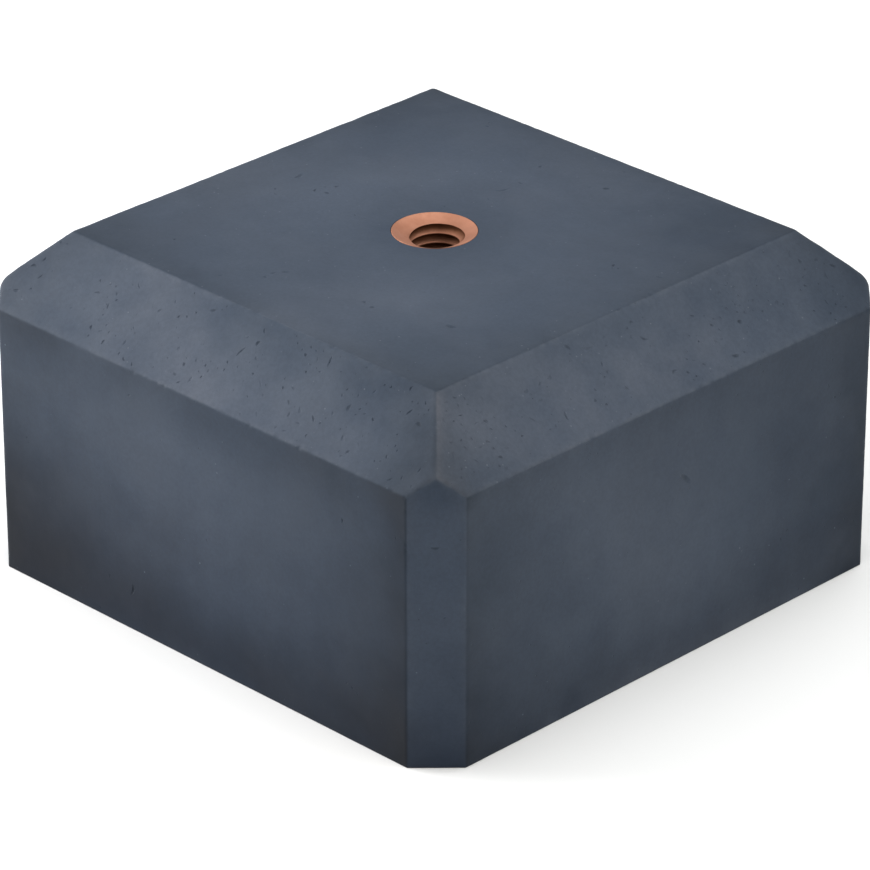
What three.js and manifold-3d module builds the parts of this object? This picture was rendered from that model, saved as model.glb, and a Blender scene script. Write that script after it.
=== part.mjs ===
// Column base block: a dark precast concrete block with a threaded metal socket cast into its top.
// Millimetres, +Z up. The origin is the centre of the underside, and the sides face X and Y.
// A column stands on the flat top and is held by one screw in the socket.
import * as THREE from "three";
import { mergeVertices } from "three/addons/utils/BufferGeometryUtils.js";
import Module from "manifold-3d";

// Block
const blockSide = 180;
const blockHeight = 100;
const topChamfer = 20; // run and drop of the 45 degree chamfer round the top
const cornerLeg = 11; // cut off each side of an upright corner by its 45 degree facet

// Socket, cast in flush with the top
const socketDiameter = 23.8;
const socketLength = 50;
const footDiameter = 30; // closed foot that keeps the socket from pulling out
const footThickness = 7;
const mouthDepth = 2.1; // dished mouth, from the rim down to the bore
const rimLip = 0.15; // flat ring left round the dished mouth
const boreDiameter = 13.8; // over the thread's crests
const boreDepth = 41;

// Thread
const threadPitch = 2.8;
const threadRootDiameter = 16.8;
const threadDepth = 34; // from the top down to the last full turn
const grooveMouth = 2.5; // width of the groove at the crests
const grooveRoot = 0.7; // width of the groove at its root
const exitFacet = 4; // facet, counted anticlockwise from +X, where the groove runs out at the mouth's lower edge

// Fit and facets
const castGap = 0.3; // between the socket and the concrete round it
const turnFacets = 36;
const cutOverrun = 5; // how far a cutter passes through the face it starts from
const grooveInset = 0.5; // how far the groove's cutter starts inside the bore
const weldDistance = 1e-4; // corners closer than this are one corner

// Finishes
const darkConcrete = { color: 0x4d545e, roughness: 0.8, metalness: 0 };
const copperMetal = { color: 0xc98266, roughness: 0.4, metalness: 1 };

const halfSide = blockSide / 2;
const socketRadius = socketDiameter / 2;
const boreRadius = boreDiameter / 2;
const mouthBottom = blockHeight - mouthDepth;
const facetAngle = (2 * Math.PI) / turnFacets;
const dropPerFacet = threadPitch / turnFacets;

const wasm = await Module();
wasm.setup();

/** A closed three.js geometry as a solid for joining and cutting. */
function solidOf(geometry) {
  const bare = geometry.index ? geometry.toNonIndexed() : geometry.clone();
  bare.deleteAttribute("normal");
  bare.deleteAttribute("uv");
  const merged = mergeVertices(bare, weldDistance);
  return new wasm.Manifold(
    new wasm.Mesh({
      numProp: 3,
      vertProperties: new Float32Array(merged.attributes.position.array),
      triVerts: new Uint32Array(merged.index.array),
    }),
  );
}

/** A solid's surface as a three.js geometry with flat faces. */
function geometryOf(solid) {
  const mesh = solid.getMesh();
  const indexed = new THREE.BufferGeometry();
  indexed.setAttribute("position", new THREE.BufferAttribute(mesh.vertProperties, mesh.numProp));
  indexed.setIndex(new THREE.BufferAttribute(mesh.triVerts, 1));
  const flat = indexed.toNonIndexed();
  flat.computeVertexNormals();
  return flat;
}

/** A closed outline of [x, y] corners as a shape. */
function outline(corners) {
  return new THREE.Shape(corners.map(([x, y]) => new THREE.Vector2(x, y)));
}

/** A profile of [radius, height] corners, turned about the Z axis. */
function turned(profile) {
  const points = profile.map(([radius, height]) => new THREE.Vector2(radius, height));
  return new THREE.LatheGeometry(points, turnFacets).rotateX(Math.PI / 2);
}

/** The block as seen from one side: upright walls, chamfered top. It runs the whole side of the block. */
function sideView() {
  const topHalf = halfSide - topChamfer;
  const chamferFoot = blockHeight - topChamfer;
  const view = outline([
    [-halfSide, 0],
    [halfSide, 0],
    [halfSide, chamferFoot],
    [topHalf, blockHeight],
    [-topHalf, blockHeight],
    [-halfSide, chamferFoot],
  ]);
  return new THREE.ExtrudeGeometry(view, { depth: blockSide, bevelEnabled: false })
    .translate(0, 0, -halfSide)
    .rotateX(Math.PI / 2);
}

/** The block as seen from above: a square with its four corners cut at 45 degrees. */
function planView() {
  const near = halfSide - cornerLeg;
  const plan = outline([
    [halfSide, -near],
    [halfSide, near],
    [near, halfSide],
    [-near, halfSide],
    [-halfSide, near],
    [-halfSide, -near],
    [-near, -halfSide],
    [near, -halfSide],
  ]);
  return new THREE.ExtrudeGeometry(plan, { depth: blockHeight, bevelEnabled: false });
}

/** The hollow that the socket sits in: the socket's own outside, grown by the cast gap. */
function socketHollow() {
  const hollowRadius = socketRadius + castGap;
  const footRadius = footDiameter / 2 + castGap;
  const floor = blockHeight - socketLength - castGap;
  const footTop = blockHeight - socketLength + footThickness + castGap;
  return turned([
    [0, floor],
    [footRadius, floor],
    [footRadius, footTop],
    [hollowRadius, footTop],
    [hollowRadius, blockHeight + cutOverrun],
    [0, blockHeight + cutOverrun],
  ]);
}

/** The concrete block: where its two side views and its plan meet, less the socket's hollow. */
function concreteBlock() {
  const front = solidOf(sideView());
  const right = solidOf(sideView().rotateZ(Math.PI / 2));
  const plan = solidOf(planView());
  return front.intersect(right).intersect(plan).subtract(solidOf(socketHollow()));
}

/** The path of the thread's groove: a left-hand helix, falling anticlockwise seen from above, one step to a facet. */
class GrooveHelix extends THREE.Curve {
  constructor(radius) {
    super();
    const stepsBelowExit = Math.round(((threadDepth - mouthDepth) / threadPitch) * turnFacets);
    const stepsAboveExit = Math.ceil(((mouthDepth + threadPitch) / threadPitch) * turnFacets);
    this.radius = radius;
    this.firstFacet = exitFacet - stepsAboveExit;
    this.top = mouthBottom + stepsAboveExit * dropPerFacet;
    this.steps = stepsAboveExit + stepsBelowExit;
  }

  angle(share) {
    return (this.firstFacet + this.steps * share) * facetAngle;
  }

  getPoint(share, target = new THREE.Vector3()) {
    const angle = this.angle(share);
    const height = this.top - this.steps * share * dropPerFacet;
    return target.set(this.radius * Math.cos(angle), this.radius * Math.sin(angle), height);
  }

  /** Steps evenly along the helix, which has the same length to every turn. */
  getPointAt(share, target) {
    return this.getPoint(share, target);
  }

  /** Keeps the groove's section in a plane through the axis, as a thread's profile is drawn. */
  computeFrenetFrames(segments) {
    const frames = { tangents: [], normals: [], binormals: [] };
    for (let i = 0; i <= segments; i++) {
      const angle = this.angle(i / segments);
      frames.tangents.push(new THREE.Vector3(-Math.sin(angle), Math.cos(angle), 0));
      frames.normals.push(new THREE.Vector3(Math.cos(angle), Math.sin(angle), 0));
      frames.binormals.push(new THREE.Vector3(0, 0, -1));
    }
    return frames;
  }
}

/** The cutter of the thread's groove, from above the mouth down to its last full turn. */
function grooveCutter() {
  const cutterDepth = grooveInset + threadRootDiameter / 2 - boreRadius;
  const section = outline([
    [0, -grooveMouth / 2],
    [grooveInset, -grooveMouth / 2],
    [cutterDepth, -grooveRoot / 2],
    [cutterDepth, grooveRoot / 2],
    [grooveInset, grooveMouth / 2],
    [0, grooveMouth / 2],
  ]);
  const helix = new GrooveHelix(boreRadius - grooveInset);
  return new THREE.ExtrudeGeometry(section, { steps: helix.steps, extrudePath: helix });
}

/** The socket's turned body with its dished mouth and blind bore. */
function socketBody() {
  const bottom = blockHeight - socketLength;
  const footRadius = footDiameter / 2;
  return turned([
    [0, bottom],
    [footRadius, bottom],
    [footRadius, bottom + footThickness],
    [socketRadius, bottom + footThickness],
    [socketRadius, blockHeight],
    [socketRadius - rimLip, blockHeight],
    [boreRadius, mouthBottom],
    [boreRadius, blockHeight - boreDepth],
    [0, blockHeight - boreDepth],
  ]);
}

/** The socket: its turned body with the thread cut into the bore. */
function threadedSocket() {
  return solidOf(socketBody()).subtract(solidOf(grooveCutter()));
}

/** A solid as a named mesh with its own finish. */
function piece(name, solid, finish) {
  const mesh = new THREE.Mesh(geometryOf(solid), new THREE.MeshStandardMaterial(finish));
  mesh.name = name;
  return mesh;
}

const columnBase = new THREE.Group();
columnBase.add(piece("concrete_block", concreteBlock(), darkConcrete));
columnBase.add(piece("threaded_socket", threadedSocket(), copperMetal));

export default columnBase;
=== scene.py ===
"""The dark cast concrete column base block and its threaded copper-coloured socket, dressed and lit.

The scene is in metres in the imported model's own frame, with +Z up and the origin at the centre of the
underside. The mesh builders work in millimetres and hand over metres at the end.
"""

import logging
import math
from dataclasses import dataclass, field
from enum import Enum

import bmesh
import bpy
import numpy as np
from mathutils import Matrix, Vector, geometry, noise

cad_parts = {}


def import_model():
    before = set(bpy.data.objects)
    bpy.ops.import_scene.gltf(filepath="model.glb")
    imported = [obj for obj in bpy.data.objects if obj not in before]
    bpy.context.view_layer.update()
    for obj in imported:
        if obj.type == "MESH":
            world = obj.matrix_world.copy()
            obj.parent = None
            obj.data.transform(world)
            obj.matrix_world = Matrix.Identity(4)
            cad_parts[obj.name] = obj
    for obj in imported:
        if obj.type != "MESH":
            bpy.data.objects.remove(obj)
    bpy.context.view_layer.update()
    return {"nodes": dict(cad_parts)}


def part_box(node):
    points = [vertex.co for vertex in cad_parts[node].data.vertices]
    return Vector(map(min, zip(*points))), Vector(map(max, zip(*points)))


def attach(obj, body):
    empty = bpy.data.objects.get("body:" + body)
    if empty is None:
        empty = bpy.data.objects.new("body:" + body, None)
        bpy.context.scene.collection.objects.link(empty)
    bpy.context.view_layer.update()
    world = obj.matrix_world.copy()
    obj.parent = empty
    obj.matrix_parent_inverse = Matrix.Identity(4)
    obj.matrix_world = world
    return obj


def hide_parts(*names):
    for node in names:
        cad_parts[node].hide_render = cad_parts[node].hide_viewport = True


log = logging.getLogger("column_base_block")

MM = 0.001

Points = np.ndarray
Colour = tuple[float, float, float]


def wander(places: Points, wavelength: float, seed: float) -> np.ndarray:
    """Smooth random values from about -1 to 1 at places in space.

    Args:
        places: one place to a row.
        wavelength: distance over which the values change, in the places' unit.
        seed: shifts the pattern.

    Returns:
        One value to a place.
    """
    shift = Vector((seed, 1.7 * seed, -seed))
    return np.array([noise.noise(Vector(place) / wavelength + shift) for place in places])


@dataclass(frozen=True)
class Wave:
    """A soft random unevenness: how large it is, its length in millimetres, and the shift of its pattern."""

    size: float
    length: float
    seed: float

    def at(self, places: Points) -> np.ndarray:
        """The unevenness at places in space, from about -size to size."""
        return self.size * wander(places, self.length, self.seed)


def unit(vector: np.ndarray) -> np.ndarray:
    """The vector at length one."""
    return vector / np.linalg.norm(vector)


def paint(mesh: bpy.types.Mesh, name: str, values: np.ndarray) -> None:
    """Gives a mesh a painted value at each of its points.

    Args:
        mesh: the mesh.
        name: the name that the material reads the values by.
        values: one value to a point.
    """
    mesh.attributes.new(name, "FLOAT", "POINT").data.foreach_set("value", values.astype(np.float32))


# Materials


@dataclass(frozen=True)
class Mottle:
    """Soft random patches over a surface, and the values that they swing between."""

    size: float  # of the patches, in millimetres
    low: float = 0.0
    high: float = 1.0
    spread: float = 0.25  # how far from its middle the noise is where it gives low and high
    detail: float = 3.0  # how many finer layers there are
    roughness: float = 0.6  # how strong the finer layers are
    swirl: float = 0.0


class NodeBench:
    """A material's node tree, with short calls that add its nodes and join them."""

    def __init__(self, name: str) -> None:
        """Starts a material with a principled shader on its output.

        Args:
            name: the material's name.
        """
        self.material = bpy.data.materials.new(name)
        self.material.use_nodes = True
        self.tree = self.material.node_tree
        self.tree.nodes.clear()
        self.shader = self.node("ShaderNodeBsdfPrincipled")
        output = self.node("ShaderNodeOutputMaterial")
        self.join(self.shader.outputs["BSDF"], output.inputs["Surface"])
        self.place = self.node("ShaderNodeTexCoord").outputs["Object"]

    def node(self, kind: str, **settings: object) -> bpy.types.Node:
        """Adds a node of that kind and gives it those settings.

        Args:
            kind: the node's type name.
            settings: attributes of the node.

        Returns:
            The new node.
        """
        made = self.tree.nodes.new(kind)
        for name, value in settings.items():
            setattr(made, name, value)
        return made

    def join(self, source: object, target: bpy.types.NodeSocket) -> None:
        """Feeds a socket from another socket, or sets it to a plain value.

        Args:
            source: an output socket, a number or a colour.
            target: the input socket.
        """
        if isinstance(source, bpy.types.NodeSocket):
            self.tree.links.new(source, target)
        elif isinstance(source, tuple) and len(source) == 3 and target.type == "RGBA":
            target.default_value = (*source, 1.0)
        else:
            target.default_value = source

    def cloud(self, size: float, detail: float, roughness: float, swirl: float = 0.0) -> bpy.types.NodeSocket:
        """Soft random values from 0 to 1 over the surface.

        Args:
            size: size of the patches, in millimetres.
            detail: how many finer layers there are.
            roughness: how strong the finer layers are.
            swirl: how much the patches swirl.

        Returns:
            The noise's value.
        """
        made = self.node("ShaderNodeTexNoise", noise_dimensions="3D")
        self.join(self.place, made.inputs["Vector"])
        settings = {"Scale": 1 / (size * MM), "Detail": detail, "Roughness": roughness, "Distortion": swirl}
        for name, value in settings.items():
            self.join(value, made.inputs[name])
        return made.outputs["Fac"]

    def span(
        self, value: object, low: float, high: float, to_low: float = 0.0, to_high: float = 1.0
    ) -> bpy.types.NodeSocket:
        """Eases a value between two limits.

        Args:
            value: what is eased.
            low: the value that gives to_low.
            high: the value that gives to_high.
            to_low: result at and below low.
            to_high: result at and above high.

        Returns:
            The eased value.
        """
        made = self.node("ShaderNodeMapRange", interpolation_type="SMOOTHSTEP")
        settings = {"Value": value, "From Min": low, "From Max": high, "To Min": to_low, "To Max": to_high}
        for name, given in settings.items():
            self.join(given, made.inputs[name])
        return made.outputs["Result"]

    def mottle(self, patches: Mottle) -> bpy.types.NodeSocket:
        """Values that swing softly over the surface.

        Args:
            patches: how large the patches are, and what they swing between.

        Returns:
            The value.
        """
        value = self.cloud(patches.size, patches.detail, patches.roughness, patches.swirl)
        return self.span(value, 0.5 - patches.spread, 0.5 + patches.spread, patches.low, patches.high)

    def mix(self, share: object, first: object, second: object, blend: str = "MIX") -> bpy.types.NodeSocket:
        """Blends two colours.

        Args:
            share: how much of the second, from 0 to 1.
            first: colour under.
            second: colour over.
            blend: how they are blended.

        Returns:
            The blended colour.
        """
        made = self.node("ShaderNodeMix", data_type="RGBA", blend_type=blend)
        colours = [socket for socket in made.inputs if socket.type == "RGBA"]
        self.join(share, made.inputs[0])
        self.join(first, colours[0])
        self.join(second, colours[1])
        return next(socket for socket in made.outputs if socket.type == "RGBA")

    def sum(self, operation: str, *values: object) -> bpy.types.NodeSocket:
        """Works out a number from numbers.

        Args:
            operation: what is done, such as MULTIPLY or ADD.
            values: the numbers.

        Returns:
            The result.
        """
        made = self.node("ShaderNodeMath", operation=operation)
        for value, socket in zip(values, made.inputs):
            self.join(value, socket)
        return made.outputs[0]

    def painted(self, name: str) -> bpy.types.NodeSocket:
        """The value that the mesh carries under that name."""
        return self.node("ShaderNodeAttribute", attribute_name=name).outputs["Fac"]

    def axis(self, name: str) -> bpy.types.NodeSocket:
        """How far a place is along one of the piece's axes.

        Args:
            name: X, Y or Z.

        Returns:
            The distance, in metres.
        """
        made = self.node("ShaderNodeSeparateXYZ")
        self.join(self.place, made.inputs[0])
        return made.outputs[name]

    def bump(
        self, height: bpy.types.NodeSocket, depth: float, under: bpy.types.NodeSocket | None = None
    ) -> bpy.types.NodeSocket:
        """Roughens the surface.

        Args:
            height: the relief, from 0 to 1.
            depth: how deep it is, in millimetres.
            under: a coarser relief below this one, or None.

        Returns:
            The roughened normal.
        """
        made = self.node("ShaderNodeBump")
        self.join(1.0, made.inputs["Strength"])
        self.join(depth * MM, made.inputs["Distance"])
        self.join(height, made.inputs["Height"])
        if under is not None:
            self.join(under, made.inputs["Normal"])
        return made.outputs["Normal"]

    def shade(self, **sockets: object) -> bpy.types.Material:
        """Sets the shader's sockets, with underscores for spaces in their names.

        Args:
            sockets: socket name to value or to another socket.

        Returns:
            The finished material.
        """
        for name, value in sockets.items():
            self.join(value, self.shader.inputs[name.replace("_", " ")])
        return self.material


@dataclass(frozen=True)
class ConcreteFinish:
    """Smooth blue-grey cast concrete: cloudy, pale and open-grained on the chamfers, with painted shade
    darkening the foot.
    """

    deep: Colour = (0.0266, 0.0376, 0.0578)
    pale: Colour = (0.0331, 0.0458, 0.0688)
    dust: Colour = (0.0503, 0.0625, 0.0856)
    fringe: Colour = (0.0560, 0.0680, 0.0900)
    # painted shade and dirt: what the air holes, the pinholes and the shaded edges of each face darken
    # towards
    dirt_and_shade: Colour = (0.0030, 0.0078, 0.0145)
    # painted shade at the foot: what the colour there is multiplied by
    foot: Colour = (0.24, 0.33, 0.43)
    sand: Colour = (0.0950, 0.1100, 0.1350)
    stop: Colour = (2.45, 2.0, 1.72)  # what one stop of the painted patches, stain and painted light alike, multiplies each channel by
    clouds: Mottle = Mottle(46.0, spread=0.20, roughness=0.55, swirl=0.4)
    dusting: Mottle = Mottle(17.0, 0.25, 0.85)
    fraying: Mottle = Mottle(3.5, 0.10, 0.85, 0.20, detail=2.0)
    # how unevenly the painted edge shade falls
    shade_unevenness: Mottle = Mottle(22.0, 0.7, 1.3)
    sheen: Mottle = Mottle(24.0, 0.55, 0.69, 0.20)
    # the painted shade at the foot: its uneven top edge, its height and its tilt across the block
    foot_shade_edge: Mottle = Mottle(30.0, 7.0 * MM, 29.0 * MM, 0.30)
    foot_shade_height: float = 68.0
    foot_shade_tilt: float = 0.10
    grit_size: float = 1.1
    grit_depth: float = 0.045
    ripple_size: float = 6.0
    ripple_depth: float = 0.07
    speck_cell: float = 1.25
    speck_share: tuple[float, float] = (0.015, 0.08)  # of the cells, where the grain is closed and open
    speck_radius: tuple[float, float] = (0.12, 0.26)  # against a cell
    sand_strength: float = 0.55
    pinhole_strength: float = 0.30
    pinhole_depth: float = 0.06
    open_roughness: float = 0.12
    specular: float = 0.22

    def material(self, name: str) -> bpy.types.Material:
        """The concrete's material.

        Args:
            name: the material's name.

        Returns:
            The material.
        """
        bench = NodeBench(name)
        open_grain = bench.painted("open_grain")
        grit = bench.cloud(self.grit_size, 3.0, 0.7)
        pinholes, grains = self.specks(bench, open_grain)

        colour = bench.mix(1.0, self.cast_colour(bench, open_grain), self.tint(bench, grit), "MULTIPLY")
        colour = bench.mix(bench.sum("MULTIPLY", grains, self.sand_strength), colour, self.sand)
        # The air holes and pinholes are painted darker: painted shade and dirt in the holes.
        faint = bench.sum("MULTIPLY", pinholes, self.pinhole_strength)
        colour = bench.mix(bench.sum("MAXIMUM", bench.painted("recess"), faint), colour, self.dirt_and_shade)

        relief = bench.bump(bench.cloud(self.ripple_size, 4.0, 0.55), self.ripple_depth)
        tooth = bench.sum("MULTIPLY", grit, bench.span(open_grain, 0.0, 1.0, 0.35, 1.0))
        relief = bench.bump(tooth, self.grit_depth, relief)
        relief = bench.bump(bench.sum("SUBTRACT", 1.0, pinholes), self.pinhole_depth, relief)
        rough = bench.sum("MULTIPLY", open_grain, self.open_roughness)
        rough = bench.sum("ADD", bench.mottle(self.sheen), rough)
        return bench.shade(
            Base_Color=colour, Roughness=rough, Specular_IOR_Level=self.specular, Normal=relief
        )

    def cast_colour(self, bench: NodeBench, open_grain: bpy.types.NodeSocket) -> bpy.types.NodeSocket:
        """The cloudy colour: pale where the grain is open, with painted shade near the face's edges and at
        the foot.

        Args:
            bench: the material being made.
            open_grain: how open the surface is, from 0 to 1.

        Returns:
            The colour.
        """
        colour = bench.mix(bench.mottle(self.clouds), self.deep, self.pale)
        colour = bench.mix(bench.sum("MULTIPLY", open_grain, bench.mottle(self.dusting)), colour, self.dust)
        frayed = bench.sum("MULTIPLY", bench.mottle(self.fraying), bench.span(open_grain, 0.0, 0.5, 0.2, 1.0))
        colour = bench.mix(bench.sum("MULTIPLY", bench.painted("arris"), frayed), colour, self.fringe)
        # Painted shade: darker towards the face's edges, unevenly.
        uneven_shade = bench.sum("MULTIPLY", bench.painted("shade"), bench.mottle(self.shade_unevenness))
        colour = bench.mix(uneven_shade, colour, self.dirt_and_shade)
        # Painted shade: darker towards the foot, reaching higher towards -X and -Y.
        tilt = bench.sum("MULTIPLY", bench.sum("ADD", bench.axis("X"), bench.axis("Y")), self.foot_shade_tilt)
        level = bench.sum("ADD", bench.sum("ADD", bench.axis("Z"), bench.mottle(self.foot_shade_edge)), tilt)
        foot_shade = bench.span(level, 0.0, self.foot_shade_height * MM, 1.0, 0.0)
        return bench.mix(foot_shade, colour, self.foot, "MULTIPLY")

    def tint(self, bench: NodeBench, grit: bpy.types.NodeSocket) -> bpy.types.NodeSocket:
        """What the colour is multiplied by: a fine speckle, and the painted patches of stain, painted shade
        and painted highlight.

        Args:
            bench: the material being made.
            grit: the fine noise of the surface.

        Returns:
            The colour to multiply by.
        """
        speckle = bench.span(grit, 0.30, 0.70, 0.93, 1.06)
        stain_and_light_stops = bench.painted("stain_and_light_stops")
        tint = bench.node("ShaderNodeCombineColor")
        for channel, stop in zip(tint.inputs, self.stop):
            bench.join(bench.sum("MULTIPLY", speckle, bench.sum("POWER", stop, stain_and_light_stops)), channel)
        return tint.outputs["Color"]

    def specks(
        self, bench: NodeBench, open_grain: bpy.types.NodeSocket
    ) -> tuple[bpy.types.NodeSocket, bpy.types.NodeSocket]:
        """Holes and sand grains too small for the mesh: scattered dots, more of them where the grain is open.

        Args:
            bench: the material being made.
            open_grain: how open the surface is, from 0 to 1.

        Returns:
            1 in a pinhole and 0 outside it, then the same for the pale grains.
        """
        cells = bench.node("ShaderNodeTexVoronoi", feature="F1")
        bench.join(bench.place, cells.inputs["Vector"])
        bench.join(1 / (self.speck_cell * MM), cells.inputs["Scale"])
        pick = bench.node("ShaderNodeSeparateColor")
        bench.join(cells.outputs["Color"], pick.inputs[0])
        chance = bench.span(open_grain, 0.0, 1.0, *self.speck_share)
        size = bench.span(pick.outputs[1], 0.0, 1.0, *self.speck_radius)
        spot = bench.span(bench.sum("DIVIDE", cells.outputs["Distance"], size), 0.5, 1.0, 1.0, 0.0)
        holes, grains = (
            bench.sum("MULTIPLY", spot, bench.sum("LESS_THAN", pick.outputs[channel], chance))
            for channel in (0, 2)
        )
        return holes, grains


@dataclass(frozen=True)
class CopperFinish:
    """Satin turned metal of a copper colour."""

    bright: Colour = (0.420, 0.201, 0.131)
    dull: Colour = (0.370, 0.171, 0.108)
    # painted shade: what the socket's shaded parts darken towards
    shaded_copper: Colour = (0.095, 0.038, 0.018)
    patches: Mottle = Mottle(7.0, spread=0.20)
    sheen: Mottle = Mottle(2.5, 0.53, 0.66, 0.20)
    shaded_roughness: float = 0.25
    turning_depth: float = 0.006
    tooth_size: float = 0.5
    tooth_depth: float = 0.008

    def material(self, name: str) -> bpy.types.Material:
        """The socket metal's material.

        Args:
            name: the material's name.

        Returns:
            The material.
        """
        bench = NodeBench(name)
        # Painted shade: darker under the crests, down the bore and on one side of the dish.
        socket_shade = bench.painted("socket_shade")
        colour = bench.mix(bench.mottle(self.patches), self.dull, self.bright)
        colour = bench.mix(socket_shade, colour, self.shaded_copper)
        turning = bench.node("ShaderNodeTexWave", wave_type="RINGS", rings_direction="Z")
        bench.join(bench.place, turning.inputs["Vector"])
        for setting, value in {"Scale": 900.0, "Distortion": 1.5, "Detail": 2.0, "Detail Scale": 1.5}.items():
            bench.join(value, turning.inputs[setting])
        relief = bench.bump(turning.outputs["Fac"], self.turning_depth)
        relief = bench.bump(bench.cloud(self.tooth_size, 2.0, 0.6), self.tooth_depth, relief)
        rough = bench.sum("ADD", bench.mottle(self.sheen), bench.sum("MULTIPLY", socket_shade, self.shaded_roughness))
        return bench.shade(Base_Color=colour, Metallic=1.0, Roughness=rough, Normal=relief)


@dataclass(frozen=True)
class FloorFinish:
    """Plain pale matt studio floor."""

    colour: Colour = (0.82, 0.82, 0.82)
    trodden: Colour = (0.75, 0.75, 0.75)
    patches: Mottle = Mottle(400.0, 0.0, 0.02, 0.20, 2.0, 0.5)

    def material(self, name: str) -> bpy.types.Material:
        """The floor's material.

        Args:
            name: the material's name.

        Returns:
            The material.
        """
        bench = NodeBench(name)
        colour = bench.mix(bench.mottle(self.patches), self.colour, self.trodden)
        return bench.shade(Base_Color=colour, Roughness=0.85, Specular_IOR_Level=0.2)


# Concrete block


@dataclass(frozen=True)
class Skin:
    """How one kind of face comes out of the mould, and how much painted shade darkens it towards its edges.
    """

    holes: float  # air holes to the square centimetre
    hole_size: float  # against the usual radius
    hole_depth: float  # as a share of a hole's radius
    open_grain: float  # 0 closed and smooth, 1 pale and open
    rim_shade: float  # how much darker the face is along its level edges
    end_shade: float  # how much darker it is along its rising edges
    reach: float  # how far in from the edges it is darker, in millimetres


class FaceKind(Enum):
    """The block's kinds of face."""

    TOP = Skin(0.16, 1.9, 0.40, 0.0, 0.34, 0.34, 15.0)
    CHAMFER = Skin(3.3, 1.55, 0.36, 1.0, 0.04, 0.34, 12.0)
    SIDE = Skin(0.12, 1.4, 0.35, 0.02, 0.26, 0.48, 20.0)
    CORNER = Skin(0.20, 1.9, 0.35, 0.22, 0.12, 0.14, 3.5)
    UNDERSIDE = Skin(0.30, 1.5, 0.50, 0.05, 0.10, 0.10, 10.0)


@dataclass
class BlockFace:
    """One flat face of the block before it is worn. Its corners run anticlockwise seen from outside."""

    kind: FaceKind
    corners: Points

    def __post_init__(self) -> None:
        """Works out the face's own axes: u along its first edge, v across it, and the normal."""
        self.u = unit(self.corners[1] - self.corners[0])
        self.normal = unit(np.cross(self.u, self.corners[2] - self.corners[1]))
        self.v = np.cross(self.normal, self.u)

    def flat(self, places: Points) -> Points:
        """Places in space as places in the face's own plane."""
        return np.stack([(places - self.corners[0]) @ self.u, (places - self.corners[0]) @ self.v], axis=1)

    def raised(self, flat: Points) -> Points:
        """Places in the face's own plane as places in space."""
        return self.corners[0] + flat[:, :1] * self.u + flat[:, 1:] * self.v

    def edge_distances(self, flat: Points) -> np.ndarray:
        """How far places in the face's plane are inside each of its edges.

        Args:
            flat: places in the face's own plane.

        Returns:
            A row of distances to a place, negative beyond an edge.
        """
        outline = self.flat(self.corners)
        along = np.roll(outline, -1, axis=0) - outline
        along /= np.linalg.norm(along, axis=1)[:, None]
        inward = np.stack([-along[:, 1], along[:, 0]], axis=1)
        return ((flat[:, None] - outline[None]) * inward[None]).sum(axis=2)

    def edge_distance(self, flat: Points) -> np.ndarray:
        """How far places in the face's plane are inside its nearest edge."""
        return self.edge_distances(flat).min(axis=1)

    def shading(self, flat: Points) -> np.ndarray:
        """How much darker the face is towards its edges.

        Args:
            flat: places in the face's own plane.

        Returns:
            One share to a place.
        """
        skin = self.kind.value
        climb = np.abs((np.roll(self.corners, -1, axis=0) - self.corners)[:, 2])
        strength = np.where(climb > 0.1, skin.end_shade, skin.rim_shade)
        fading = np.exp(-np.maximum(self.edge_distances(flat), 0) / skin.reach)
        return 1 - np.prod(1 - strength * fading, axis=1)


@dataclass
class BlockShape:
    """The block's sizes in millimetres, with the hollow that the socket sits in."""

    side: float
    height: float
    chamfer: float
    corner_leg: float
    mouth_radius: float
    foot_radius: float
    foot_top: float
    hollow_floor: float

    @classmethod
    def from_solid(cls, solid: bpy.types.Object) -> "BlockShape":
        """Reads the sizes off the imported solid.

        Args:
            solid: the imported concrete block.

        Returns:
            The block's sizes.
        """
        corners = np.array([vertex.co for vertex in solid.data.vertices]) / MM
        radius = np.hypot(corners[:, 0], corners[:, 1])
        half, height = corners[:, 0].max(), corners[:, 2].max()
        touch = 0.01
        top = corners[:, 2] > height - touch
        wall = corners[:, 0] > half - touch
        inside = radius < half / 2
        floor, foot_top = np.unique(corners[inside, 2].round(2))[:2]
        return cls(
            side=2 * half,
            height=height,
            chamfer=half - corners[top, 0].max(),
            corner_leg=half - corners[wall, 1].max(),
            mouth_radius=radius[top].min(),
            foot_radius=radius[inside].max(),
            foot_top=foot_top,
            hollow_floor=floor,
        )

    def faces(self) -> list[BlockFace]:
        """The block's fourteen flat faces.

        Returns:
            The top, the underside, and four each of chamfers, sides and corner facets.
        """
        half = self.side / 2
        top = half - self.chamfer
        near = half - self.corner_leg
        brow = self.height - self.chamfer
        hip = half - self.corner_leg / 2
        peak = self.height - (hip - top)
        quarter = {
            FaceKind.CHAMFER: [
                (top, -top, self.height), (hip, -hip, peak), (half, -near, brow),
                (half, near, brow), (hip, hip, peak), (top, top, self.height),
            ],
            FaceKind.SIDE: [(half, -near, 0), (half, near, 0), (half, near, brow), (half, -near, brow)],
            FaceKind.CORNER: [
                (half, near, 0), (near, half, 0), (near, half, brow), (hip, hip, peak), (half, near, brow),
            ],
        }
        faces = []
        for kind, corners in quarter.items():
            turned = np.array(corners, float)
            for _ in range(4):
                faces.append(BlockFace(kind, turned))
                turned = np.stack([-turned[:, 1], turned[:, 0], turned[:, 2]], axis=1)
        square = [(top, -top), (top, top), (-top, top), (-top, -top)]
        faces.append(BlockFace(FaceKind.TOP, np.array([(x, y, self.height) for x, y in square])))
        feet = [face.corners[:1] for face in faces if face.kind in (FaceKind.SIDE, FaceKind.CORNER)]
        ring = np.concatenate(feet)
        ring = ring[np.argsort(-np.arctan2(ring[:, 1], ring[:, 0]))]
        faces.append(BlockFace(FaceKind.UNDERSIDE, ring))
        return faces


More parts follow.
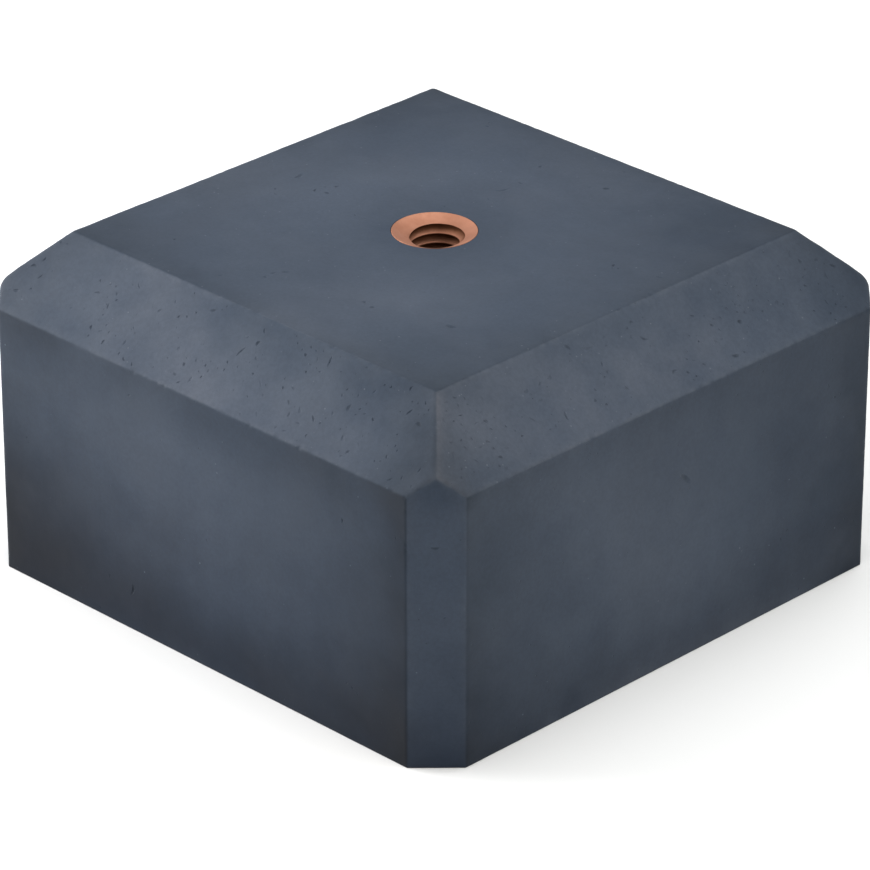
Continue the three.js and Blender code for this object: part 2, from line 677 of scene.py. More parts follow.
@dataclass
class AirHole:
    """A small shallow hole left by air in the cast surface, often long and bent."""

    centre: np.ndarray
    radius: float
    stretch: float
    turn: float
    bend: float
    wobble: np.ndarray
    depth: float
    # how much darker the hole is painted towards its floor: painted shade and dirt
    darkness: float

    @property
    def reach(self) -> float:
        """The furthest that the rim can be from the centre."""
        return self.radius * (1.3 * self.stretch + abs(self.bend))

    @property
    def sides(self) -> int:
        """How many points go round the rim."""
        return 14 if self.reach > 0.9 else 10

    def ring(self, share: float) -> Points:
        """Points round the hole at a share of its radius.

        Args:
            share: 1 at the rim, less inside it.

        Returns:
            One place in the face's plane to a point.
        """
        angle = np.linspace(0, 2 * math.pi, self.sides, endpoint=False)
        swell = 1 + self.wobble[0] * np.cos(2 * angle + self.wobble[1])
        swell += self.wobble[2] * np.cos(3 * angle + self.wobble[3])
        x, y = self.radius * share * swell * np.array([self.stretch * np.cos(angle), np.sin(angle)])
        y += self.bend * (x / self.stretch) ** 2 / self.radius
        c, s = math.cos(self.turn), math.sin(self.turn)
        return self.centre + np.stack([c * x - s * y, s * x + c * y], axis=1)


@dataclass
class AirHoleScatter:
    """Places air holes on a face: mostly fine ones, some in strings and clusters. Lengths in millimetres."""

    usual_radius: float = 0.21
    spread: float = 0.34
    smallest: float = 0.14
    largest: float = 0.75
    stretching: tuple[float, float] = (1.8, 0.62)  # shape and scale of the draw
    longest: float = 6.0  # against its width
    wobble: tuple[float, ...] = (0.20, 6.3, 0.16, 6.3)  # most of two waves round the rim, and their turns
    darkest: float = 0.45
    strung: float = 0.36  # the share that follows on from the hole before
    edge_margin: float = 0.30
    apart: float = 0.16
    mouth_margin: float = 1.2

    def on_face(self, face: BlockFace, mouth_radius: float, rng: np.random.Generator) -> list[AirHole]:
        """Scatters the holes of one face.

        Args:
            face: the face.
            mouth_radius: radius of the hollow's mouth, which stays clear on the top.
            rng: the draw of random numbers.

        Returns:
            The face's holes, none of them touching.
        """
        outline = face.flat(face.corners)
        low, high = outline.min(axis=0), outline.max(axis=0)
        after = np.roll(outline, -1, axis=0)
        area = 0.5 * abs(np.sum(outline[:, 0] * after[:, 1] - after[:, 0] * outline[:, 1]))
        wanted = int(area / 100 * face.kind.value.holes)
        axis = face.flat(np.array([[0.0, 0.0, face.corners[0][2]]]))[0]
        holes: list[AirHole] = []
        while len(holes) < wanted:
            drawn = rng.lognormal(math.log(self.usual_radius * face.kind.value.hole_size), self.spread)
            radius = float(np.clip(drawn, self.smallest, self.largest))
            hole = AirHole(
                centre=rng.uniform(low, high),
                radius=radius,
                stretch=min(1 + float(rng.gamma(*self.stretching)), self.longest),
                turn=rng.uniform(0, math.pi),
                bend=rng.uniform(-1.0, 1.0),
                wobble=rng.uniform(0, self.wobble),
                depth=radius * face.kind.value.hole_depth * rng.uniform(0.6, 1.5),
                darkness=rng.uniform(0.0, self.darkest),
            )
            if holes and rng.random() < self.strung:
                heading = holes[-1].turn + rng.normal(0, 1.1)
                step = holes[-1].reach + hole.reach + self.apart + rng.exponential(0.7)
                hole.centre = holes[-1].centre + step * np.array([math.cos(heading), math.sin(heading)])
                hole.turn = heading + rng.normal(0, 0.5)
            if face.edge_distance(hole.centre[None])[0] < hole.reach + self.edge_margin:
                continue
            if face.kind is FaceKind.TOP and math.dist(hole.centre, axis) < mouth_radius + self.mouth_margin:
                continue
            reach = hole.reach + self.apart
            if any(math.dist(hole.centre, other.centre) < reach + other.reach for other in holes):
                continue
            holes.append(hole)
        return holes


class Outlook(Enum):
    """The faces that the photograph shows, by the way they look."""

    TOP = (0, 0, 1)
    LEFT_CHAMFER = (0, -1, 1)
    RIGHT_CHAMFER = (1, 0, 1)
    LEFT_SIDE = (0, -1, 0)
    RIGHT_SIDE = (1, 0, 0)
    NEAR_CORNER = (1, -1, 0)

    def shows(self, face: BlockFace) -> bool:
        """Whether that face looks this way."""
        return float(unit(np.array(self.value, float)) @ face.normal) > 0.99


@dataclass(frozen=True)
class StainAndLight:
    """A soft streak or patch where the cast surface is painted paler or darker: partly stains and uneven
    tone, partly painted shade and painted highlight.
    """

    start: tuple[float, float, float]
    end: tuple[float, float, float]
    width: float
    strength: float  # in stops: above 0 paler, below 0 darker

    def stain_and_light_stops(self, places: Points) -> np.ndarray:
        """How much paler the patch makes each place.

        Args:
            places: places on the block.

        Returns:
            Stops of brightness, one value to a place.
        """
        start, along = np.array(self.start), np.array(self.end) - np.array(self.start)
        share = np.clip((places - start) @ along / max(float(along @ along), 1e-9), 0, 1)
        away = places - start - share[:, None] * along
        return self.strength * np.exp(-np.square(away).sum(axis=1) / self.width**2)


# Painted patches on each face: stains and uneven tone, with painted shade such as the darker ends of the
# sides and the top of the near corner facet, and a painted highlight down the hip.
STAINS_AND_LIGHT: dict[Outlook, tuple[StainAndLight, ...]] = {
    Outlook.TOP: (
        StainAndLight((-66, -20, 100), (-22, 6, 100), 30, 0.27),
        StainAndLight((4, -66, 100), (24, -38, 100), 18, 0.36),
        StainAndLight((0, 34, 100), (18, 60, 100), 20, 0.18),
        StainAndLight((52, 50, 100), (68, 62, 100), 20, -0.42),
        StainAndLight((-2, -1, 100), (0, 0, 100), 18, -0.70),
        StainAndLight((-70, -32, 100), (-68, 20, 100), 10, 0.22),
        StainAndLight((12, -69, 100), (60, -68, 100), 7, 0.30),
    ),
    Outlook.LEFT_CHAMFER: (
        StainAndLight((-32, -75, 95), (-6, -86, 84), 16, 0.24),
        StainAndLight((0, -71, 99), (56, -71, 99), 9, -0.42),
        StainAndLight((73, -79, 91), (74, -90, 80), 8, -0.34),
        StainAndLight((0, -88, 82), (50, -88, 82), 6, 0.18),
        StainAndLight((71, -71, 99), (85, -85, 85), 2.6, 0.45),
        StainAndLight((83, -87, 83), (84, -86, 84), 5, 0.45),
    ),
    Outlook.RIGHT_CHAMFER: (
        StainAndLight((71, -71, 99), (85, -85, 85), 2.6, 0.45),
        StainAndLight((87, -83, 83), (86, -84, 84), 5, 0.40),
        StainAndLight((73, -72, 97), (87, -84, 83), 12, 0.44),
        StainAndLight((80, -52, 90), (84, -30, 86), 15, 0.27),
        StainAndLight((82, -4, 88), (85, 18, 85), 10, 0.24),
        StainAndLight((84, 83, 86), (86, 72, 84), 10, -0.36),
        StainAndLight((72, -16, 98), (72, 2, 98), 8, -0.18),
    ),
    Outlook.LEFT_SIDE: (
        StainAndLight((-76, -90, 2), (-72, -90, 18), 26, -1.50),
        StainAndLight((-74, -90, 80), (-60, -90, 79), 9, -0.82),
        StainAndLight((78, -90, 4), (78, -90, 78), 9, -0.88),
        StainAndLight((76, -90, 2), (76, -90, 20), 12, -0.52),
        StainAndLight((62, -90, 14), (60, -90, 44), 13, -0.48),
        StainAndLight((52, -90, 79), (70, -90, 77), 9, -0.46),
        StainAndLight((-62, -90, 9), (76, -90, 9), 10, -0.48),
        StainAndLight((0, -90, 76), (34, -90, 76), 9, -0.34),
        StainAndLight((-34, -90, 62), (-6, -90, 40), 14, 0.14),
        StainAndLight((24, -90, 14), (24, -90, 70), 10, -0.16),
        StainAndLight((-78, -90, 0), (20, -90, 0), 4, 0.62),
    ),
    Outlook.RIGHT_SIDE: (
        StainAndLight((90, -74, 76), (90, -46, 74), 12, 0.22),
        StainAndLight((90, -22, 52), (90, 2, 24), 19, 0.27),
        StainAndLight((90, -16, 74), (90, 8, 68), 12, 0.16),
        StainAndLight((90, 40, 50), (90, 58, 32), 17, -0.42),
        StainAndLight((90, 77, 4), (90, 77, 22), 12, -0.66),
        StainAndLight((90, 77, 46), (90, 77, 80), 9, -0.30),
        StainAndLight((90, -46, 0), (90, 54, 0), 5, 0.84),
        StainAndLight((90, -82, 10), (90, -82, 16), 8, -0.24),
    ),
    Outlook.NEAR_CORNER: (
        StainAndLight((84.5, -84.5, 86), (84.5, -84.5, 80), 5, -0.40),
        StainAndLight((84.5, -84.5, 2), (84.5, -84.5, 76), 14, -0.16),
    ),
}


@dataclass
class ArrisWear:
    """How the block's edges are worn: softly rounded by uneven radii, with small chips and nicks."""

    radius: float = 2.3
    foot_radius: float = 0.35
    foot_swell: float = 0.8
    peak_radius: float = 4.0
    peak_reach: float = 4.5
    least: float = 0.20
    most: float = 5.5
    chips: int = 26
    nicks: int = 130
    rounds: int = 36
    swells: tuple[Wave, ...] = (Wave(0.35, 9.0, 3.1), Wave(0.30, 2.2, 8.4))  # as shares of the radius
    chip_growth: float = 1.4
    nick_depth: float = 0.45

    def marks(
        self, arrises: Points, rng: np.random.Generator
    ) -> tuple[Points, np.ndarray, Points, np.ndarray]:
        """Picks where the chips and nicks are.

        Args:
            arrises: places along all the block's edges.
            rng: the draw of random numbers.

        Returns:
            The chips' places and spans, then the nicks' places and spans.
        """
        chips = arrises[rng.choice(len(arrises), self.chips, replace=False)]
        nicks = arrises[rng.choice(len(arrises), self.nicks, replace=False)]
        return chips, rng.uniform(0.5, 1.5, self.chips), nicks, rng.uniform(0.25, 0.6, self.nicks)

    def radii(self, places: Points, chips: Points, spans: np.ndarray, peaks: Points) -> np.ndarray:
        """The radius to which an edge near each place is worn.

        Args:
            places: places on the block.
            chips: where the chips are.
            spans: how far each chip reaches along its edge.
            peaks: the tops of the corner facets, which are blunt.

        Returns:
            One radius to a place.
        """
        radii = self.radius * np.clip(1 + sum(swell.at(places) for swell in self.swells), 0.1, None)
        for chip, span in zip(chips, spans):
            away = np.square(places - chip).sum(axis=1)
            radii += self.chip_growth * span * np.exp(-away / span**2)
        for peak in peaks:
            away = np.square(places - peak).sum(axis=1)
            radii += self.peak_radius * np.exp(-away / self.peak_reach**2)
        radii = np.minimum(radii, self.foot_radius + self.foot_swell * places[:, 2])
        return np.clip(radii, self.least, self.most)

    def rounded(self, places: Points, radii: np.ndarray, faces: list[BlockFace]) -> tuple[Points, Points]:
        """Rolls a ball of each place's radius inside the block and moves the place onto it.

        Args:
            places: places on the block's flat faces.
            radii: one radius to a place.
            faces: the block's faces.

        Returns:
            The ball's centres, and the directions from them out through the surface.
        """
        centres = places.copy()
        carried = np.zeros((len(faces), *places.shape))
        for _ in range(self.rounds):
            for index, face in enumerate(faces):
                tried = centres + carried[index]
                over = np.maximum(tried @ face.normal - (face.corners[0] @ face.normal - radii), 0.0)
                centres = tried - over[:, None] * face.normal
                carried[index] = tried - centres
        outward = places - centres
        return centres, outward / np.linalg.norm(outward, axis=1)[:, None]


@dataclass
class CastBlock:
    """The cast concrete block: worn edges, air holes and a faintly wavy skin, round the socket's hollow."""

    shape: BlockShape
    finish: ConcreteFinish = ConcreteFinish()
    wear: ArrisWear = field(default_factory=ArrisWear)
    scatter: AirHoleScatter = field(default_factory=AirHoleScatter)
    arris_step: float = 0.6
    rows: tuple[tuple[float, int], ...] = ((0.28, 1), (0.60, 1), (0.98, 2), (1.50, 2), (2.50, 4), (4.0, 6))
    waves: tuple[Wave, ...] = (Wave(0.045, 34.0, 1.3), Wave(0.018, 6.0, 2.9))
    clean_foot: float = 4.0
    stains_and_light: dict[Outlook, tuple[StainAndLight, ...]] = field(default_factory=STAINS_AND_LIGHT.copy)
    grid_step: float = 4.2
    mouth_points: int = 120
    mouth_gap: float = 0.18
    run_over: float = 24.0  # the higher, the shorter the blend from face to face round an edge
    seed: int = 41

    def __post_init__(self) -> None:
        """Makes room for the block's places, triangles and painted values."""
        self.rng = np.random.default_rng(self.seed)
        self.places: list[Points] = []
        self.depths: list[np.ndarray] = []
        self.recesses: list[np.ndarray] = []
        self.triangles: list[np.ndarray] = []
        self.sharp: list[np.ndarray] = []
        self.shared: dict[tuple, int] = {}
        self.count = 0

    def add(self, places: Points, depth: float = 0.0, recess: float = 0.0) -> np.ndarray:
        """Adds places to the skin.

        Args:
            places: places in space.
            depth: how far below the surface they lie.
            recess: how far they are down a hole, from 0 to 1.

        Returns:
            Their numbers.
        """
        self.places.append(places)
        self.depths.append(np.full(len(places), depth))
        self.recesses.append(np.full(len(places), recess))
        numbers = np.arange(self.count, self.count + len(places))
        self.count += len(places)
        return numbers

    def arris(self, start: np.ndarray, end: np.ndarray) -> Points:
        """Places along an edge from start up to but without end, the same for both faces that share it.

        Args:
            start: one corner.
            end: the other corner.

        Returns:
            The places.
        """
        first, last = sorted([tuple(start), tuple(end)])
        steps = max(2, round(float(np.linalg.norm(end - start)) / self.arris_step))
        places = np.linspace(first, last, steps + 1)
        return places[:-1] if first == tuple(start) else places[::-1][:-1]

    def edge_numbers(self, places: Points) -> np.ndarray:
        """The numbers of places on an edge, which are added when the first face meets them.

        Args:
            places: places along edges.

        Returns:
            Their numbers.
        """
        numbers = []
        for place in places:
            key = tuple(place.round(4))
            if key not in self.shared:
                self.shared[key] = int(self.add(place[None])[0])
            numbers.append(self.shared[key])
        return np.array(numbers)

    def field_points(self, face: BlockFace, outline: Points, holes: list[AirHole]) -> Points:
        """The points inside a face: rows along its edges and a loose grid between them.

        Args:
            face: the face.
            outline: points along its edges, in its plane.
            holes: its air holes, which the points keep clear of.

        Returns:
            Places in the face's plane.
        """
        parts = []
        corners = face.flat(face.corners)
        for inset, skip in self.rows:
            for start, end in zip(corners, np.roll(corners, -1, axis=0)):
                along = unit(end - start)
                steps = max(2, round(float(np.linalg.norm(end - start)) / (self.arris_step * skip)))
                shares = (np.arange(steps) + 0.5) / steps
                row = start + shares[:, None] * (end - start) + inset * np.array([-along[1], along[0]])
                parts.append(row[face.edge_distance(row) >= inset - 1e-6])
        low, high = outline.min(axis=0), outline.max(axis=0)
        across = np.arange(low[0], high[0], self.grid_step)
        up = np.arange(low[1], high[1], self.grid_step)
        grid = np.stack(np.meshgrid(across, up), axis=-1).reshape(-1, 2)
        grid = grid + self.rng.uniform(-0.32, 0.32, grid.shape) * self.grid_step
        parts.append(grid[face.edge_distance(grid) > self.rows[-1][0] + self.grid_step / 3])
        points = np.concatenate(parts)
        clear = np.ones(len(points), bool)
        for hole in holes:
            away = np.hypot(*(points - hole.centre).T)
            clear &= away > hole.reach + self.scatter.apart / 2
        return points[clear]

    def skin_face(self, face: BlockFace) -> None:
        """Covers one face with triangles, its air holes sunk into it.

        Args:
            face: the face.
        """
        holes = self.scatter.on_face(face, self.shape.mouth_radius, self.rng)
        after = np.roll(face.corners, -1, axis=0)
        edges = np.concatenate([self.arris(a, b) for a, b in zip(face.corners, after)])
        outline = face.flat(edges)
        numbers = [self.edge_numbers(edges)]
        flats = [outline]
        loops = [np.arange(len(outline))]
        inner = self.field_points(face, outline, holes)
        mouth = None
        if face.kind is FaceKind.TOP:
            axis = face.flat(np.array([[0.0, 0.0, self.shape.height]]))[0]
            inner = inner[np.hypot(*(inner - axis).T) > self.shape.mouth_radius + 0.6]
            mouth = self.mouth_ring()
            self.mouth = self.add(mouth)
            loops.append(len(outline) + np.arange(len(mouth)))
            flats.append(face.flat(mouth))
            numbers.append(self.mouth)
        flats.append(inner)
        numbers.append(self.add(face.raised(inner)))
        for hole in holes:
            # Each hole's inner rings are painted darker by its darkness: painted shade and dirt down the
            # hole.
            for share, sunk, recess in ((1.0, 0.0, 0.0), (0.62, 0.60, 0.65), (0.25, 1.0, 1.0)):
                ring = hole.ring(share)[:: 1 if share > 0.5 else 2]
                first = sum(map(len, flats))
                flats.append(ring)
                numbers.append(self.add(face.raised(ring), hole.depth * sunk, recess * hole.darkness))
                if share == 1.0:
                    loops.append(first + np.arange(len(ring)))
                    self.sharp.append(np.stack([numbers[-1], np.roll(numbers[-1], -1)], axis=1))
        number = np.concatenate(numbers)
        ties = [(int(a), int(b)) for loop in loops for a, b in zip(loop, np.roll(loop, -1))]
        points = [Vector(point) for point in np.concatenate(flats)]
        _, _, cells, origins, _, _ = geometry.delaunay_2d_cdt(points, ties, [], 1, 1e-6)
        source = np.array([origin[0] for origin in origins])
        triangles = number[source[np.array(cells)]]
        if mouth is not None:
            triangles = triangles[~np.isin(triangles, self.mouth).all(axis=1)]
        self.triangles.append(triangles)

    def mouth_ring(self) -> Points:
        """The hollow's slightly ragged lip on the top.

        Returns:
            Places round the lip, anticlockwise.
        """
        angle = np.linspace(0, 2 * math.pi, self.mouth_points, endpoint=False)
        circle = np.stack([np.cos(angle), np.sin(angle), np.zeros_like(angle)], axis=1)
        skim = self.mouth_gap * (1 + 0.7 * wander(12 * circle, 2.5, 5.2))
        return circle * (self.shape.mouth_radius - skim)[:, None] + (0, 0, self.shape.height)

    def skin_hollow(self) -> None:
        """Lines the socket's hollow, from the lip on the top down to its closed floor, painted fully dark as
        painted shade.
        """
        shape = self.shape
        profile = [
            (shape.mouth_radius - 0.12, shape.height - 0.25),
            (shape.mouth_radius, shape.height - 0.80),
            (shape.mouth_radius, shape.height - 3.0),
            (shape.mouth_radius, shape.foot_top),
            (shape.foot_radius, shape.foot_top),
            (shape.foot_radius, shape.hollow_floor),
        ]
        angle = np.linspace(0, 2 * math.pi, self.mouth_points, endpoint=False)
        above = self.mouth
        for radius, level in profile:
            circle = (radius * np.cos(angle), radius * np.sin(angle), np.full_like(angle, level))
            below = self.add(np.stack(circle, axis=1), 0.0, 1.0)
            after_above, after_below = np.roll(above, -1), np.roll(below, -1)
            self.triangles.append(np.stack([above, after_above, after_below], axis=1))
            self.triangles.append(np.stack([above, after_below, below], axis=1))
            above = below
        middle = self.add(np.array([[0.0, 0.0, shape.hollow_floor]]), 0.0, 1.0)
        self.triangles.append(np.stack([above, np.roll(above, -1), np.full_like(above, middle[0])], axis=1))
        self.sharp.append(np.stack([self.mouth, np.roll(self.mouth, -1)], axis=1))

    def worn(self, faces: list[BlockFace], places: Points, skin: int) -> tuple[Points, np.ndarray]:
        """Wears the skin's places and sinks the air holes.

        Args:
            faces: the block's faces.
            places: all places, those of the skin first.
            skin: how many of them lie on the skin, the rest lining the hollow.

        Returns:
            The worn places, and for those of the skin the directions out through the surface.
        """
        arrises = places[sorted(self.shared.values())]
        arrises = arrises[arrises[:, 2] > self.clean_foot]
        chips, chip_spans, nicks, nick_spans = self.wear.marks(arrises, self.rng)
        outer = places[:skin]
        peaks = np.array([face.corners[3] for face in faces if face.kind is FaceKind.CORNER])
        radii = self.wear.radii(outer, chips, chip_spans, peaks)
        centres, outward = self.wear.rounded(outer, radii, faces)
        sunk = sum(wave.size + wave.at(outer) for wave in self.waves)
        for nick, span in zip(nicks, nick_spans):
            sunk += self.wear.nick_depth * span * np.exp(-np.square(outer - nick).sum(axis=1) / span**2)
        sunk += np.concatenate(self.depths)[:skin]
        moved = places.copy()
        moved[:skin] = centres + (radii - sunk)[:, None] * outward
        return moved, outward

    def dressed(self, faces: list[BlockFace], places: Points, outward: Points) -> Points:
        """The painted values of the skin, which run over from face to face round the worn edges.

        Args:
            faces: the block's faces.
            places: places on them, before they are worn.
            outward: directions out through the worn surface there.

        Returns:
            A row to a place: edge nearness, open grain, painted shade, and the stops of the painted patches.
        """
        total = np.zeros((len(places), 4))
        for face in faces:
            share = np.clip(outward @ face.normal, 0, None) ** self.run_over
            stain_and_light_stops = np.zeros(len(places))
            for outlook in self.stains_and_light:
                if outlook.shows(face):
                    stain_and_light_stops += sum(painted_mark.stain_and_light_stops(places) for painted_mark in self.stains_and_light[outlook])
            grain = np.full(len(places), face.kind.value.open_grain)
            values = (np.ones(len(places)), grain, face.shading(face.flat(places)), stain_and_light_stops)
            total += share[:, None] * np.stack(values, axis=1)
        total[:, 1:] /= total[:, :1]
        total[:, 0] = self.edge_nearness(faces, places)
        return total

    def edge_nearness(self, faces: list[BlockFace], places: Points, width: float = 2.3) -> np.ndarray:
        """How near each place is to an edge of the block.

        Args:
            faces: the block's faces.
            places: places on the block's flat faces.
            width: how far from an edge the value fades out.

        Returns:
            1 on an edge, falling to 0 at the width.
        """
        depth = np.stack([face.corners[0] @ face.normal - places @ face.normal for face in faces])
        second = np.sort(depth, axis=0)[1]
        return np.clip(1 - second / width, 0, 1) ** 2

    def build(self) -> bpy.types.Object:
        """Makes the block's mesh and dresses it.

        Returns:
            The block.
        """
        faces = self.shape.faces()
        for face in faces:
            self.skin_face(face)
        skin = self.count
        self.skin_hollow()
        flat_places = np.concatenate(self.places)
        places, outward = self.worn(faces, flat_places, skin)
        dressing = np.zeros((len(places), 4))
        dressing[:skin] = self.dressed(faces, flat_places[:skin], outward)
        mesh = bpy.data.meshes.new("cast_block")
        mesh.from_pydata((places * MM).tolist(), [], np.concatenate(self.triangles).tolist())
        mesh.shade_smooth()
        painted = {"recess": np.concatenate(self.recesses)}
        painted |= dict(zip(("arris", "open_grain", "shade", "stain_and_light_stops"), dressing.T))
        for name, values in painted.items():
            paint(mesh, name, values)
        self.mark_sharp(mesh)
        mesh.materials.append(self.finish.material("dark_cast_concrete"))
        block = bpy.data.objects.new("cast_block", mesh)
        bpy.context.scene.collection.objects.link(block)
        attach(block, "root")
        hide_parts("concrete_block")
        return block

    def mark_sharp(self, mesh: bpy.types.Mesh) -> None:
        """Marks the rims of the air holes and of the hollow as sharp edges.

        Args:
            mesh: the block's mesh.
        """
        wanted = np.sort(np.concatenate(self.sharp), axis=1)
        ends = np.zeros(2 * len(mesh.edges), np.int32)
        mesh.edges.foreach_get("vertices", ends)
        ends = np.sort(ends.reshape(-1, 2).astype(np.int64), axis=1)
        codes = ends[:, 0] * self.count + ends[:, 1]
        sharp = np.isin(codes, wanted[:, 0] * self.count + wanted[:, 1])
        mesh.attributes.new("sharp_edge", "BOOLEAN", "EDGE").data.foreach_set("value", sharp)


# Threaded socket


@dataclass
class ThreadedSocket:
    """The turned socket: dished mouth, blind bore with a left-hand thread, and a closed foot.

    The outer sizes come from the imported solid, and the rest are in millimetres.
    """

    low: Vector
    high: Vector
    finish: CopperFinish = CopperFinish()
    outside_radius: float = 11.9
    foot_thickness: float = 7.0
    mouth_depth: float = 2.1
    rim_lip: float = 0.15
    bore_radius: float = 6.9
    bore_depth: float = 41.0
    root_radius: float = 8.4
    groove_width: float = 2.54
    pitch: float = 2.8
    thread_depth: float = 34.0
    exit_angle: float = 40.0
    # where the dish's painted shade is strongest, in degrees round the axis
    shaded_angle: float = -45.0
    mouth_edge: tuple[tuple[float, float], ...] = ((0.0, -0.10), (0.03, -0.02), (0.12, 0.06))  # out and up
    rim_edge: tuple[tuple[float, float], ...] = ((-0.06, -0.01), (0.0, -0.08))  # out and up
    dish_sag: float = 0.16
    floor_bevel: float = 0.4
    turn_steps: int = 144
    helix_steps: int = 72

    @property
    def top(self) -> float:
        """Height of the rim."""
        return self.high.z / MM

    def profile(self) -> list[tuple[float, float]]:
        """The turned outline of the socket without its thread, from the bore's floor round to the foot.

        Returns:
            Radius and height of each point.
        """
        foot_radius = self.high.x / MM
        bottom = self.low.z / MM
        mouth = self.top - self.mouth_depth
        eased = [(self.bore_radius + out, mouth + up) for out, up in self.mouth_edge]
        (start, foot), lip = eased.pop(), self.outside_radius - self.rim_lip
        dish = []
        for share in np.linspace(0, 1, 9):
            sag = self.dish_sag * math.sin(math.pi * share)
            dish.append((start + (lip - start) * share, foot + (self.top - foot) * share - sag))
        return [
            (0.0, self.top - self.bore_depth),
            (self.bore_radius - self.floor_bevel, self.top - self.bore_depth),
            (self.bore_radius, self.top - self.bore_depth + self.floor_bevel),
            *eased,
            *dish,
            *((self.outside_radius + out, self.top + up) for out, up in self.rim_edge),
            (self.outside_radius, bottom + self.foot_thickness),
            (foot_radius, bottom + self.foot_thickness),
            (foot_radius, bottom),
            (0.0, bottom),
        ]

    def turned(self) -> bpy.types.Object:
        """The socket's body turned from its outline, before the thread is cut.

        Returns:
            The body.
        """
        angles = [2 * math.pi * step / self.turn_steps for step in range(self.turn_steps)]
        rings = [
            [(radius * math.cos(angle), radius * math.sin(angle), level) for angle in angles]
            for radius, level in self.profile()[1:-1]
        ]
        return self.joined(rings, "threaded_socket_body")

    def groove_section(self) -> list[tuple[float, float]]:
        """The cutter's section: a groove between sharp crests, flat above, sloping below, round at its root.

        Returns:
            Radius and offset along the bore of each point, in order round the section.
        """
        half, depth = self.groove_width / 2, self.root_radius - self.bore_radius
        inside = self.bore_radius - 0.5
        upper = [(0.0, 1.0), (0.70, 0.91), (0.88, 0.76), (0.97, 0.50)]
        lower = [(1.0, 0.20), (1.0, -0.10), (0.97, -0.26), (0.90, -0.38), (0.0, -1.0)]
        curve = [(self.bore_radius + depth * deep, half * high) for deep, high in upper + lower]
        return [(inside, half), *curve, (inside, -half)]

    def cutter(self) -> bpy.types.Object:
        """The thread's cutter: the groove's section swept down a left-hand helix from above the mouth.

        Returns:
            The cutter.
        """
        mouth = self.top - self.mouth_depth
        below = round((self.thread_depth - self.mouth_depth) / self.pitch * self.helix_steps)
        above = math.ceil((self.mouth_depth + self.pitch) / self.pitch * self.helix_steps)
        rings = []
        for step in range(-above, below + 1):
            angle = math.radians(self.exit_angle) + 2 * math.pi * (step + 0.37) / self.helix_steps
            level = mouth - self.pitch * (step + 0.37) / self.helix_steps
            rings.append(
                [
                    (radius * math.cos(angle), radius * math.sin(angle), level + offset)
                    for radius, offset in self.groove_section()
                ]
            )
        return self.joined(rings, "thread_cutter")

    @staticmethod
    def joined(rings: list[list[tuple[float, float, float]]], name: str) -> bpy.types.Object:
        """Joins rings of points, each to the next, and closes both ends.

        Args:
            rings: the rings, in millimetres, all with the same number of points.
            name: the object's name.

        Returns:
            The closed shape, in metres.
        """
        shape = bmesh.new()
        laid = [[shape.verts.new(point) for point in ring] for ring in rings]
        for lower, upper in zip(laid, laid[1:]):
            for quad in zip(lower, upper, upper[1:] + upper[:1], lower[1:] + lower[:1]):
                shape.faces.new(quad)
        shape.faces.new(laid[0])
        shape.faces.new(reversed(laid[-1]))
        bmesh.ops.recalc_face_normals(shape, faces=shape.faces)
        bmesh.ops.scale(shape, vec=(MM, MM, MM), verts=shape.verts)
        mesh = bpy.data.meshes.new(name)
        shape.to_mesh(mesh)
        shape.free()
        made = bpy.data.objects.new(name, mesh)
        bpy.context.scene.collection.objects.link(made)
        return made

    def socket_shade(self, places: Points) -> np.ndarray:
        """How much painted shade darkens the socket: most under each crest and more down the bore, least on
        the crests' upper sides, and on the dish only at the bore's edge and round one side.

        Args:
            places: places on the socket.

        Returns:
            One share to a place, from 0 to 1.
        """
        mouth = self.top - self.mouth_depth
        radius, level = np.hypot(places[:, 0], places[:, 1]), places[:, 2]
        dish = np.interp(radius, (self.bore_radius, self.outside_radius - self.rim_lip), (mouth, self.top))
        angle = np.degrees(np.arctan2(places[:, 1], places[:, 0]))
        offset = level - mouth + self.pitch * (angle - self.exit_angle) / 360
        offset = ((offset + self.pitch / 2) % self.pitch - self.pitch / 2) / (self.groove_width / 2)
        groove = np.interp(offset, (-1.0, -0.75, -0.4, 0.2, 1.0), (0.34, 0.58, 0.88, 0.97, 0.95))
        groove **= 1 + 1.5 * np.clip((mouth - level) / 4.2, 0, 1)
        lip = np.interp(radius, (self.bore_radius, self.bore_radius + 1.6), (0.14, 0.0))
        near = 0.70 * np.exp(-np.square((angle - self.shaded_angle) / 28.0))
        return np.where(dish - level > 0.22, groove, np.maximum(lip, near))

    def build(self) -> bpy.types.Object:
        """Makes the socket's mesh and dresses it.

        Returns:
            The socket.
        """
        body, cutter = self.turned(), self.cutter()
        cut = body.modifiers.new("thread", "BOOLEAN")
        cut.operation, cut.solver, cut.object = "DIFFERENCE", "EXACT", cutter
        bpy.context.view_layer.update()
        result = body.evaluated_get(bpy.context.evaluated_depsgraph_get())
        mesh = bpy.data.meshes.new_from_object(result)
        mesh.name = "turned_socket"
        for used in (body, cutter):
            bpy.data.objects.remove(used)
        mesh.shade_smooth()
        mesh.set_sharp_from_angle(angle=math.radians(34))
        socket_shade = self.socket_shade(np.array([vertex.co for vertex in mesh.vertices]) / MM)
        paint(mesh, "socket_shade", socket_shade)
        mesh.materials.append(self.finish.material("copper_coloured_metal"))
        socket = bpy.data.objects.new("turned_socket", mesh)
        bpy.context.scene.collection.objects.link(socket)
        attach(socket, "root")
        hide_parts("threaded_socket")
        return socket


# Studio


